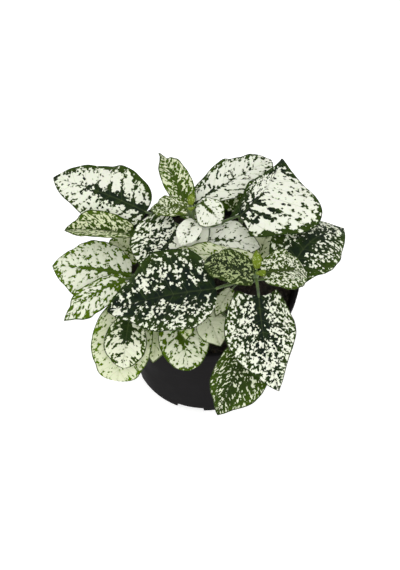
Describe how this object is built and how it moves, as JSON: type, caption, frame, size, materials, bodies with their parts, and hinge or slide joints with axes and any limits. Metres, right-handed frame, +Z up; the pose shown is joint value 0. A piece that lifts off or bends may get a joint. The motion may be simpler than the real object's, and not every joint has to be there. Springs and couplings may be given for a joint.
{
  "type": "potted polka dot plant",
  "caption": "Potted foliage plant with white-splashed green leaves on branching stems, in a round tapered black nursery pot with a rim band and drainage slots.",
  "frame": {"origin": "centre of the pot's flat underside, on the surface the pot stands on", "axes": "+X to the right and +Y away from the viewer in the front view, +Z up along the pot's axis"},
  "size_m": [0.1595, 0.1465, 0.148],
  "materials": {
    "pot_plastic": "charcoal black moulded plastic with a soft sheen",
    "potting_soil": "dark crumbly peat and bark mix",
    "foliage": "soft dull leaf surface, green with cream-white splashes"
  },
  "bodies": {
    "root": {"pot": "pot_plastic", "soil": "potting_soil", "leafy_stem_back": "foliage", "leafy_stem_right": "foliage", "leafy_stem_left": "foliage", "leafy_stem_front": "foliage", "leafy_stem_far": "foliage"}
  },
  "joints": []
}
